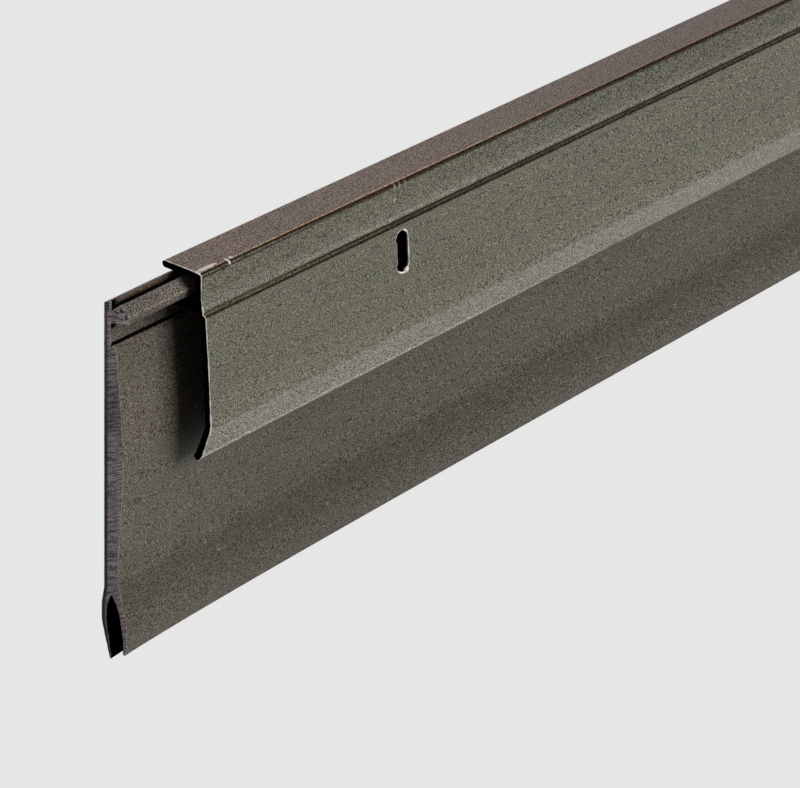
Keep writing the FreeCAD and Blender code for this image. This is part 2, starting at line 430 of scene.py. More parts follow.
    def material(self, name: str, shape: Profile, slots: SlotRow) -> bpy.types.Material:
        """Make the carrier's material.

        Args:
            name: The material's name.
            shape: Where the section's corners are.
            slots: The row of slots.

        Returns:
            The material.
        """
        material, graph, shader = new_material(name)
        surface = read_surface(graph)
        raw = graph.noise(surface.place, self.grain_per_mm, 0.0, 0.5)
        grain = graph.step(raw, 0.32, 0.68)
        hue = graph.noise(graph.stretch(surface.place, (1.0, 1.3, 0.8)), self.grain_per_mm * 0.8, 1.0)
        cloud = graph.noise(graph.stretch(surface.place, (0.15, 1.0, 1.0)), 0.12, 2.0)
        margin = self.painted_margin_glint(graph, surface, shape, grain)
        colour = self.corner_tones(graph, surface, shape, self.face, margin)
        lit = self.lit_ledge(graph, surface, shape, grain)
        colour = self.groove_tones(graph, surface, shape, colour, lit)
        colour = self.lower_tones(graph, surface, shape, colour, grain)
        smooth = graph.highest([graph.step(surface.up, 0.8, 0.95), graph.step(surface.up, -0.15, -0.25)])
        stronger = graph.spread(graph.step(surface.x, shape.near + 40.0, shape.near + 140.0), 1.0, 1.25)
        share = graph.math("MULTIPLY", graph.spread(smooth, self.grain, self.grain * 1.6), stronger)
        low = graph.math("MAXIMUM", graph.math("SUBTRACT", 1.0, share), 0.0)
        high = graph.math("ADD", 1.0, share)
        even = graph.math("DIVIDE", 2.0, graph.math("ADD", low, high))
        colour = graph.tint(colour, graph.grey(graph.math("MULTIPLY", graph.spread(grain, low, high), even)))
        colour = graph.tint(colour, graph.grey(graph.spread(cloud, 0.95, 1.05)))
        # Painted shade: the upper faces darker away from the near end.
        far = graph.product(graph.step(surface.x, shape.near + 50.0, shape.near + 140.0), graph.step(surface.z, 5.0, 6.0))
        colour = graph.tint(colour, graph.grey(graph.spread(far, 1.0, 0.84)))
        colour = graph.tint(colour, self.hues(graph, hue))
        mouths, walls = self.slot_masks(graph, surface, slots)
        bare = graph.math("MAXIMUM", spots(graph, surface.place, self.chips), mouths)
        colour = graph.mix(bare, colour, self.bare)
        # Painted shade: the sawn end faces and the slots' deep walls made very dark and dull.
        half = abs(shape.near)
        at_end = graph.step(graph.math("ABSOLUTE", surface.x), half - 0.06, half - 0.04)
        cut = graph.math("MULTIPLY", graph.math("GREATER_THAN", graph.math("ABSOLUTE", surface.across), 0.8), at_end)
        cut = graph.math("MAXIMUM", cut, walls)
        graph.feed(shader.inputs["Base Color"], graph.mix(cut, colour, self.cut))
        # The painted highlights are made a little less metallic.
        painted_glint = graph.math("MULTIPLY", graph.math("MAXIMUM", lit, margin), 0.10)
        dull = graph.highest([cut, graph.math("MULTIPLY", bare, 0.6), painted_glint])
        graph.feed(shader.inputs["Metallic"], graph.math("MULTIPLY", graph.math("SUBTRACT", 1.0, dull), self.metal))
        rough = graph.spread(grain, self.roughness - 0.05, self.roughness + 0.05)
        graph.feed(shader.inputs["Roughness"], graph.math("ADD", rough, graph.math("MULTIPLY", cut, 0.6)))
        graph.feed(shader.inputs["Specular IOR Level"], graph.math("MULTIPLY", graph.math("SUBTRACT", 1.0, cut), 0.5))
        bump = graph.add("ShaderNodeBump", {"Height": raw, "Strength": self.bump, "Distance": 0.1 * MM})
        graph.feed(shader.inputs["Normal"], bump.outputs["Normal"])
        return material


@dataclass(frozen=True)
class BareMetal:
    """Aluminium with no finish on it, as on a burr."""

    colour: Colour = (0.98, 0.96, 0.92)
    tint: Colour = (0.93, 0.83, 0.80)
    roughness: float = 0.42
    metal: float = 0.2

    def material(self, name: str) -> bpy.types.Material:
        """Make the material."""
        material, graph, shader = new_material(name)
        surface = read_surface(graph)
        patch = graph.noise(surface.place, 1.6, 3.0, 0.7)
        graph.feed(shader.inputs["Base Color"], graph.mix(graph.step(patch, 0.4, 0.65), self.colour, self.tint))
        graph.feed(shader.inputs["Metallic"], self.metal)
        graph.feed(shader.inputs["Roughness"], graph.spread(patch, self.roughness - 0.1, self.roughness + 0.1))
        return material


@dataclass(frozen=True)
class Section:
    """A place on the insert's straight section, in millimetres: along it, forward and up."""

    place: bpy.types.NodeSocket
    along: bpy.types.NodeSocket
    out: bpy.types.NodeSocket
    height: bpy.types.NodeSocket


def read_section(graph: Graph) -> Section:
    """Add the nodes that read the place on the straight section."""
    place = graph.add("ShaderNodeAttribute", attribute_name="section").outputs["Vector"]
    parts = graph.add("ShaderNodeSeparateXYZ", {0: place}).outputs
    return Section(place, parts[0], parts[1], parts[2])


@dataclass(frozen=True)
class VinylFinish:
    """Brown vinyl with a dull, finely grained skin, and painted light and shade: dark in its channel, slit and hollow.
    """

    colour: Colour = (0.105, 0.099, 0.077)
    warm: Colour = (0.110, 0.095, 0.076)
    # The painted shade's colour.
    shade_black: Colour = (0.003, 0.003, 0.003)
    speckle: Colour = (0.35, 0.34, 0.30)
    # Painted shade: the leg's top darker and pinker.
    leg: Colour = (0.84, 0.66, 0.66)
    head: Colour = (0.92, 0.87, 0.95)
    roughness: float = 0.55
    grain_per_mm: float = 4.8
    grain: float = 0.85
    hue: float = 0.08
    bump: float = 0.25
    gloss: float = 0.35

    def painted_shade(self, graph: Graph, surface: Surface, section: Section) -> Any:
        """Return the painted shade in the channel, the slit, the fins' hollow and the patch below the head."""
        frontward = graph.step(surface.forward, 0.2, 0.5)
        leg = graph.product(graph.step(section.height, 10.55, 9.75), graph.step(section.height, 7.5, 7.6))
        leg = graph.product(leg, graph.step(section.out, 1.75, 1.65), frontward)
        slit = graph.product(graph.band(section.height, 2.2, 3.12, 0.10), graph.band(section.out, 1.0, 1.7, 0.10))
        low = graph.step(section.height, -43.0, -43.4)
        back = graph.product(graph.step(section.out, 2.1, 1.9), graph.step(surface.forward, 0.0, 0.25))
        front = graph.product(graph.step(section.out, 2.0, 2.2), graph.step(surface.forward, 0.0, -0.25))
        hollow = graph.product(low, graph.highest([back, front]))
        patch = graph.product(graph.step(section.height, 5.6, 6.0), graph.step(section.out, 1.9, 1.7))
        patch = graph.product(patch, graph.step(section.along, 2.0, 0.8), frontward)
        return graph.highest([leg, slit, hollow, patch])

    def tone(self, graph: Graph, section: Section) -> Any:
        """Return the skin's tone: painted shade along the insert, at its neck and below its slit, painted light near
        its cut end, and darker low down and over its fins.
        """
        lower = graph.spread(graph.step(section.height, -34.0, -39.0), 1.0, 0.90)
        dark = graph.product(graph.step(section.height, -39.5, -42.0), graph.step(section.height, -51.5, -43.5))
        fins = graph.spread(dark, 1.03, 0.68)
        front = graph.step(section.out, 0.5, 1.0)
        # Painted shade on the neck under the head.
        neck = graph.product(graph.band(section.height, 2.9, 6.5, 0.5), graph.step(section.along, 0.0, 9.0), front)
        lower = graph.product(lower, graph.spread(neck, 1.0, 0.66))
        # Painted shade just below the slit.
        below_slit = graph.product(graph.step(section.height, -9.0, 0.0), graph.step(section.height, 2.9, 2.2))
        lower = graph.product(lower, graph.spread(graph.product(below_slit, front), 1.0, 0.87))
        # Painted light near the cut end, and painted shade further along.
        beside = graph.spread(graph.step(section.along, 8.0, 45.0), 1.17, 0.98)
        away = graph.spread(graph.step(section.along, 40.0, 170.0), 1.0, 0.92)
        return graph.product(lower, fins, beside, away)

    def material(self, name: str) -> bpy.types.Material:
        """Make the skin's material."""
        material, graph, shader = new_material(name)
        surface = read_surface(graph)
        section = read_section(graph)
        raw = graph.noise(surface.place, self.grain_per_mm, 0.0, 0.5)
        grain = graph.step(raw, 0.32, 0.68)
        hue = graph.noise(surface.place, self.grain_per_mm * 0.8, 1.0)
        cloud = graph.noise(graph.stretch(surface.place, (0.12, 1.0, 0.8)), 0.16, 2.0)
        speck = graph.step(graph.noise(surface.place, 1.3, 0.0, 0.3), 0.79, 0.83)
        brown = graph.step(section.height, -36.0, -42.0)
        colour = graph.mix(graph.highest([graph.step(cloud, 0.35, 0.65), brown]), self.colour, self.warm)
        away = graph.spread(graph.step(section.along, 20.0, 140.0), self.grain, self.grain * 1.6)
        strength = graph.math("MULTIPLY", away, graph.spread(grain, -1.0, 1.0))
        colour = graph.tint(colour, graph.grey(graph.math("MAXIMUM", graph.math("ADD", strength, 1.0), 0.0)))
        pink = (1 + self.hue, 1 - self.hue / 2, 1.0)
        green = (1 - self.hue, 1 + self.hue / 2, 1.0)
        colour = graph.tint(colour, graph.mix(graph.step(hue, 0.38, 0.62), pink, green))
        colour = graph.tint(colour, graph.grey(self.tone(graph, section)))
        head = graph.product(graph.step(section.height, 7.2, 7.6), graph.step(section.out, 1.9, 2.1))
        colour = graph.tint(colour, graph.mix(head, (1.0, 1.0, 1.0), self.head))
        # Painted light on the head towards the carrier.
        painted_head_light = graph.math("MULTIPLY", head, graph.step(section.along, 5.0, 15.0))
        colour = graph.tint(colour, graph.grey(graph.spread(painted_head_light, 1.0, 1.5)))
        # Painted shade: the leg's top darker and pinker.
        on_leg = graph.product(graph.step(section.height, 9.1, 9.3), graph.step(section.out, 1.75, 1.65))
        colour = graph.tint(colour, graph.mix(on_leg, (1.0, 1.0, 1.0), self.leg))
        # Painted highlight along the edge between the head's two front facets.
        ridge_glint = graph.product(graph.band(section.height, 9.05, 9.40, 0.08), graph.step(section.out, 5.3, 5.45))
        colour = graph.tint(colour, graph.grey(graph.spread(ridge_glint, 1.0, 1.5)))
        colour = graph.mix(graph.math("MULTIPLY", speck, 0.35), colour, self.speckle)
        # Painted shade in the channel, the slit, the hollow and below the head.
        painted_shade = self.painted_shade(graph, surface, section)
        colour = graph.mix(painted_shade, colour, self.shade_black)
        graph.feed(shader.inputs["Base Color"], colour)
        # The painted shade takes no sheen.
        unshaded_share = graph.math("SUBTRACT", 1.0, painted_shade)
        graph.feed(shader.inputs["Specular IOR Level"], self.gloss)
        graph.feed(shader.inputs["Specular IOR Level"], graph.math("MULTIPLY", unshaded_share, self.gloss))
        graph.feed(shader.inputs["Roughness"], graph.spread(grain, self.roughness - 0.08, self.roughness + 0.08))
        bump = graph.add("ShaderNodeBump", {"Height": raw, "Strength": self.bump, "Distance": 0.05 * MM})
        graph.feed(shader.inputs["Normal"], bump.outputs["Normal"])
        return material


@dataclass(frozen=True)
class SawnVinyl:
    """The insert's cut end, which the saw left striped."""

    dark: Colour = (0.045, 0.039, 0.039)
    light: Colour = (0.420, 0.366, 0.358)
    pit: Colour = (0.006, 0.005, 0.005)
    stripes_per_mm: float = 3.2
    stripe_slope: float = 0.344
    bump: float = 0.6
    pits: tuple[Chip, ...] = (
        Chip((0.0, 3.75, 9.85), (1.0, 0.45, 0.35)),
        Chip((0.0, 4.85, 9.00), (1.0, 0.28, 0.55)),
        Chip((0.0, 2.60, 9.20), (1.0, 0.70, 0.24), 0.9),
        Chip((0.0, 3.20, 8.35), (1.0, 1.30, 0.16), 0.8),
        Chip((0.0, 1.30, 8.10), (1.0, 0.80, 0.16), 0.7),
        Chip((0.0, 0.62, 9.70), (1.0, 0.52, 1.05), 0.85),
        Chip((0.0, 2.10, 7.35), (1.0, 0.60, 0.22), 0.7),
        Chip((0.0, 0.90, 1.55), (1.0, 0.50, 0.18), 0.7),
    )

    def material(self, name: str) -> bpy.types.Material:
        """Make the cut end's material."""
        material, graph, shader = new_material(name)
        section = read_section(graph)
        level = graph.math("SUBTRACT", section.height, graph.math("MULTIPLY", section.out, self.stripe_slope))
        along_stripe = graph.math("MULTIPLY", section.out, 0.10)
        flat = graph.add("ShaderNodeCombineXYZ", {1: along_stripe, 2: level}).outputs[0]
        stripes = graph.noise(flat, self.stripes_per_mm, 3.0, 0.65)
        grain = graph.noise(section.place, 4.0, 2.0, 0.6)
        share = graph.math("ADD", graph.math("MULTIPLY", stripes, 0.6), graph.math("MULTIPLY", grain, 0.4))
        colour = graph.mix(graph.step(share, 0.40, 0.60), self.dark, self.light)
        dim = graph.spread(graph.band(section.height, -12.0, -5.0, 3.0), 1.0, 0.66)
        above = graph.spread(graph.step(section.height, 0.0, 5.5), 1.0, 1.35)
        colour = graph.tint(colour, graph.grey(graph.math("MULTIPLY", dim, above)))
        bulge = graph.math("MULTIPLY", graph.step(section.height, -42.0, -45.5), 0.55)
        turned = graph.math("MAXIMUM", graph.math("SUBTRACT", -48.0, section.height), 0.0)
        backed = graph.math("ADD", section.out, graph.math("SUBTRACT", bulge, graph.math("MULTIPLY", turned, 0.286)))
        backed = graph.math("ADD", backed, graph.spread(grain, -0.12, 0.12))
        firm = graph.spread(graph.step(section.height, -14.0, -4.0), 1.0, 0.8)
        bruise = graph.math("MULTIPLY", graph.step(backed, 1.00, 0.52), firm)
        colour = graph.mix(graph.highest([bruise, spots(graph, section.place, self.pits, 0.4)]), colour, self.pit)
        graph.feed(shader.inputs["Base Color"], colour)
        graph.feed(shader.inputs["Roughness"], 0.6)
        graph.feed(shader.inputs["Specular IOR Level"], 0.2)
        bump = graph.add("ShaderNodeBump", {"Height": share, "Strength": self.bump, "Distance": 0.12 * MM})
        graph.feed(shader.inputs["Normal"], bump.outputs["Normal"])
        return material


@dataclass(frozen=True)
class BurrVinyl:
    """The pale lip that the saw left along the vinyl's cut edge."""

    colour: Colour = (0.40, 0.36, 0.35)
    shade: Colour = (0.17, 0.15, 0.145)

    def material(self, name: str) -> bpy.types.Material:
        """Make the material."""
        material, graph, shader = new_material(name)
        surface = read_surface(graph)
        patch = graph.noise(surface.place, 1.1, 3.0, 0.6)
        graph.feed(shader.inputs["Base Color"], graph.mix(graph.step(patch, 0.4, 0.62), self.colour, self.shade))
        graph.feed(shader.inputs["Roughness"], 0.5)
        return material


class BurrTree:
    """A Geometry Nodes tree that lays a thin, uneven bead along the edges of a mesh."""

    INPUTS = (
        ("Radius", "NodeSocketFloat", 0.1 * MM),
        ("Step", "NodeSocketFloat", 0.3 * MM),
        ("Wander", "NodeSocketFloat", 0.05 * MM),
        ("Patchiness", "NodeSocketFloat", 0.5),
        ("Seed", "NodeSocketFloat", 1.0),
        ("Material", "NodeSocketMaterial", None),
    )

    def __init__(self) -> None:
        """Build the tree once."""
        tree = bpy.data.node_groups.new("burr_bead", "GeometryNodeTree")
        tree.interface.new_socket("Lines", in_out="INPUT", socket_type="NodeSocketGeometry")
        tree.interface.new_socket("Bead", in_out="OUTPUT", socket_type="NodeSocketGeometry")
        self.names: dict[str, str] = {}
        for name, kind, value in self.INPUTS:
            socket = tree.interface.new_socket(name, in_out="INPUT", socket_type=kind)
            self.names[name] = socket.identifier
            if value is not None:
                socket.default_value = value
        self.tree = tree
        self.wire()

    def wire(self) -> None:
        """Add and link the tree's nodes."""
        graph = Graph(self.tree)
        given = graph.add("NodeGroupInput").outputs
        curve = graph.add("GeometryNodeMeshToCurve", {"Mesh": given["Lines"]}).outputs[0]
        step = graph.add("GeometryNodeResampleCurve", {"Curve": curve, "Length": given["Step"]}, mode="LENGTH")
        place = graph.add("GeometryNodeInputPosition").outputs[0]
        in_mm = graph.add("ShaderNodeVectorMath", {0: place, "Scale": 1 / MM}, operation="SCALE").outputs[0]
        wobble = graph.add(
            "ShaderNodeTexNoise", {"Vector": in_mm, "W": given["Seed"], "Scale": 1.3}, noise_dimensions="4D"
        )
        centred = graph.add("ShaderNodeVectorMath", {0: wobble.outputs["Color"], 1: (0.5, 0.5, 0.5)}, operation="SUBTRACT")
        shift = graph.add(
            "ShaderNodeVectorMath", {0: centred.outputs[0], "Scale": given["Wander"]}, operation="SCALE"
        )
        moved = graph.add("GeometryNodeSetPosition", {"Geometry": step.outputs[0], "Offset": shift.outputs[0]})
        lumps = graph.add(
            "ShaderNodeTexNoise", {"Vector": in_mm, "W": given["Seed"], "Scale": 0.8}, noise_dimensions="4D"
        ).outputs["Fac"]
        uneven = graph.math("MULTIPLY", graph.step(lumps, 0.62, 0.40), given["Patchiness"])
        share = graph.math("SUBTRACT", 1.0, uneven)
        weight = graph.add("GeometryNodeInputNamedAttribute", {"Name": "weight"}, data_type="FLOAT").outputs[0]
        ring = graph.add("GeometryNodeCurvePrimitiveCircle", {"Resolution": 6, "Radius": given["Radius"]}).outputs[0]
        bead = graph.add(
            "GeometryNodeCurveToMesh",
            {
                "Curve": moved.outputs[0],
                "Profile Curve": ring,
                "Scale": graph.math("MULTIPLY", share, weight),
                "Fill Caps": True,
            },
        )
        smooth = graph.add("GeometryNodeSetShadeSmooth", {"Geometry": bead.outputs[0]})
        real = graph.add("GeometryNodeRealizeInstances", {"Geometry": smooth.outputs[0]})
        last = graph.add(
            "GeometryNodeSetMaterial", {"Geometry": real.outputs[0], "Material": given["Material"]}
        )
        graph.add("NodeGroupOutput", {"Bead": last.outputs[0]})


@dataclass
class Bead:
    """One run of burr.

    Attributes:
        lines: The lines it follows, each with whether it closes and a weight for each point.
        radius: The bead's radius, in metres.
        step: The distance between its rings.
        wander: How far it strays from its line.
        patchiness: From 0, even, to 1, gone in places.
        seed: The noise's seed.
    """

    lines: list[tuple[Line, bool, list[float]]]
    radius: float
    step: float
    wander: float
    patchiness: float
    seed: float

    def lay(self, name: str, tree: BurrTree, material: bpy.types.Material) -> bpy.types.Object:
        """Make the bead's plain mesh.

        Args:
            name: The piece's name.
            tree: The tree that makes the bead.
            material: Its finish.

        Returns:
            The piece, at the origin.
        """
        points: list[Vector] = []
        edges: list[tuple[int, int]] = []
        weights: list[float] = []
        for line, closed, line_weights in self.lines:
            first = len(points)
            points.extend(line)
            weights.extend(line_weights)
            last = first + len(line) - 1
            edges.extend((i, i + 1) for i in range(first, last))
            if closed:
                edges.append((last, first))
        mesh = bpy.data.meshes.new(name)
        mesh.from_pydata(points, edges, [])
        mesh.attributes.new("weight", "FLOAT", "POINT").data.foreach_set("value", weights)
        piece = bpy.data.objects.new(name, mesh)
        bpy.context.scene.collection.objects.link(piece)
        modifier = piece.modifiers.new("bead", "NODES")
        modifier.node_group = tree.tree
        values = {
            "Radius": self.radius,
            "Step": self.step,
            "Wander": self.wander,
            "Patchiness": self.patchiness,
            "Seed": self.seed,
            "Material": material,
        }
        for label, value in values.items():
            modifier[tree.names[label]] = value
        return bake(piece)


def bake(piece: bpy.types.Object) -> bpy.types.Object:
    """Turn a piece with modifiers into a plain mesh."""
    bpy.context.view_layer.update()
    evaluated = piece.evaluated_get(bpy.context.evaluated_depsgraph_get())
    plain = bpy.data.meshes.new_from_object(evaluated)
    plain.name = piece.name
    piece.modifiers.clear()
    piece.data = plain
    return piece


def end_outline(node: bpy.types.Object, end: End) -> Line:
    """Read the outline of an extrusion's cut end.

    Args:
        node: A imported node, whose mesh is loose triangles.
        end: Which end.

    Returns:
        The outline's corners in order, each once.
    """
    mesh = bmesh.new()
    mesh.from_mesh(node.data)
    bmesh.ops.remove_doubles(mesh, verts=mesh.verts, dist=0.001 * MM)
    mesh.normal_update()
    level = max(end.value * vertex.co.x for vertex in mesh.verts)
    near = {vertex for vertex in mesh.verts if end.value * vertex.co.x > level - 0.01 * MM}
    beside: dict[bmesh.types.BMVert, list[bmesh.types.BMVert]] = {vertex: [] for vertex in near}
    for edge in mesh.edges:
        if edge.verts[0] in near and edge.verts[1] in near:
            caps = [face for face in edge.link_faces if abs(face.normal.x) > 0.9]
            if len(caps) == 1:
                beside[edge.verts[0]].append(edge.verts[1])
                beside[edge.verts[1]].append(edge.verts[0])
    start = max(near, key=lambda vertex: (vertex.co.z, vertex.co.y))
    outline = [start]
    before = None
    while True:
        ahead = [vertex for vertex in beside[outline[-1]] if vertex is not before]
        before = outline[-1]
        if ahead[0] is start or (len(outline) > 2 and start in ahead):
            break
        outline.append(ahead[0])
    points = [vertex.co.copy() for vertex in outline]
    mesh.free()
    area = sum(a.y * b.z - b.y * a.z for a, b in zip(points, points[1:] + points[:1]))
    return points if area > 0 else points[::-1]


@dataclass
class Carrier:
    """The aluminium carrier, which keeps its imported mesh.

    Attributes:
        node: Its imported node.
        slot_width: Width of a screw slot, in millimetres.
        slot_length: Its length.
        slot_inset: From each end to the middle of the first slot.
        slot_count: How many slots there are.
        slot_top_face: How far a slot's upper end stands in front of the door's face.
        slot_bottom_face: How far its lower end does.
        rim_inset: How far inside the slot's edge the burr lies.
    """

    node: bpy.types.Object
    tree: BurrTree
    slot_width: float = 3.6
    slot_length: float = 8.2
    slot_inset: float = 50.8
    slot_count: int = 4
    slot_top_face: float = 9.19
    slot_bottom_face: float = 9.90
    rim_inset: float = 0.15
    pieces: list[bpy.types.Object] = field(default_factory=list)

    def row(self) -> SlotRow:
        """Work out where the slots are."""
        low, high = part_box("aluminium_carrier")
        first = low.x / MM + self.slot_inset
        spacing = ((high.x - low.x) / MM - 2 * self.slot_inset) / (self.slot_count - 1)
        face = (self.slot_top_face + self.slot_bottom_face) / 2
        lean = (self.slot_bottom_face - self.slot_top_face) / self.slot_length
        return SlotRow(first, spacing, self.slot_count, self.slot_width, self.slot_length, face, lean)

    def dress(self) -> None:
        """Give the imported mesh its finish."""
        low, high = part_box("aluminium_carrier")
        near = low.x / MM
        top = high.z / MM
        shape = Profile(near, top)
        chips = (
            Chip((near + 2.6, -6.80, top), (2.6, 0.48, 0.5), 0.85),
            Chip((near + 7.1, -7.60, top), (0.30, 1.10, 0.9), 1.0),
            Chip((near + 8.2, -7.15, top), (0.42, 0.42, 0.5), 1.0),
            Chip((near + 50.0, -8.05, top - 0.3), (0.24, 0.60, 0.90), 0.42),
            Chip((near + 51.3, -8.05, top - 0.3), (0.18, 0.80, 1.20), 0.36),
            Chip((near + 52.8, -8.05, top - 0.6), (0.16, 0.50, 1.40), 0.30),
            Chip((near + 50.0, -8.05, top - 3.05), (0.26, 0.30, 0.45), 0.6),
        )
        material = BronzeFinish(chips=chips).material("satin_bronze", shape, self.row())
        self.node.data.materials.clear()
        self.node.data.materials.append(material)

    @staticmethod
    def burr_weight(point: Vector) -> float:
        """Choose how thick the end's burr is at a point of the outline."""
        height = point.z / MM
        if height > 11.0:
            return 1.8 if -point.y / MM > 7.0 else 0.6
        if height > 5.9:
            return 0.5
        if height > 4.2:
            return 1.5
        return 0.85 if height > -14.0 else 1.1

    def end_burr(self, end: End, material: bpy.types.Material) -> bpy.types.Object:
        """Lay the bright burr along the outer edge of a cut end."""
        outline = end_outline(self.node, end)
        size = len(outline)
        nose = max(range(size), key=lambda i: outline[i].y + 0.2 * outline[i].z)
        toe = min(range(size), key=lambda i: outline[i].z)
        run = [outline[(nose + i) % size] for i in range((toe - nose) % size + 1)]
        if min(point.y for point in run) > min(point.y for point in outline) + 0.1 * MM:
            run = [outline[(toe + i) % size] for i in range((nose - toe) % size + 1)]
        weights = [self.burr_weight(point) for point in run]
        bead = Bead([(run, False, weights)], 0.12 * MM, 0.22 * MM, 0.10 * MM, 0.6, 3.0 + end.value)
        return bead.lay(f"carrier_{end.name.lower()}_burr", self.tree, material)

    @staticmethod
    def rim_weight(turn: float) -> float:
        """Choose how thick a slot's rim is at a turn round it from +X towards +Z."""
        aside = math.cos(turn)
        above = math.sin(turn)
        if above < -0.55:
            return 3.1 if aside > -0.6 else 1.3
        if aside > 0.3:
            return 1.4 if above < 0.6 else 1.8
        return 0.3

    def slot_rims(self, material: bpy.types.Material) -> bpy.types.Object:
        """Lay the burr round every slot's mouth."""
        row = self.row()
        radius = row.width / 2 - self.rim_inset
        straight = (row.length - row.width) / 2
        steps = 40
        lines = []
        for i in range(row.count):
            middle = row.first + i * row.spacing
            line = []
            weights = []
            for j in range(steps):
                turn = 2 * math.pi * (j + 0.5) / steps
                x = middle + radius * math.cos(turn)
                z = radius * math.sin(turn) + math.copysign(straight, math.sin(turn))
                share = (z + row.length / 2) / row.length
                y = -(self.slot_bottom_face + (self.slot_top_face - self.slot_bottom_face) * share)
                line.append(Vector((x, y, z)) * MM)
                weights.append(self.rim_weight(turn))
            lines.append((line, True, weights))
        bead = Bead(lines, 0.14 * MM, 0.2 * MM, 0.14 * MM, 0.6, 5.0)
        return bead.lay("slot_rims", self.tree, material)

    def slot_lips(self, material: bpy.types.Material) -> bpy.types.Object:
        """Lay the finished metal that the punch rolled in along every slot's -X side."""
        row = self.row()
        straight = (row.length - row.width) / 2
        lines = []
        for i in range(row.count):
            x = (row.first + i * row.spacing - row.width / 2 + 0.28) * MM
            heights = [straight * (j / 6 - 1) for j in range(13)]
            line = [Vector((x, -(row.face - row.lean * height - 0.16) * MM, height * MM)) for height in heights]
            lines.append((line, False, [0.4] + [1.0] * 11 + [0.4]))
        bead = Bead(lines, 0.32 * MM, 0.2 * MM, 0.16 * MM, 0.35, 8.0)
        return bead.lay("slot_lips", self.tree, material)

    def build(self) -> list[bpy.types.Object]:
        """Dress the carrier and make its burrs."""
        self.dress()
        metal = BareMetal().material("bare_aluminium")
        rolled = BareMetal((0.20, 0.17, 0.14), (0.30, 0.20, 0.20)).material("rolled_bronze")
        self.pieces = [self.end_burr(End.NEAR, metal), self.end_burr(End.FAR, metal), self.slot_rims(metal)]
        self.pieces.append(self.slot_lips(rolled))
        for piece in self.pieces:
            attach(piece, "carrier")
        return self.pieces


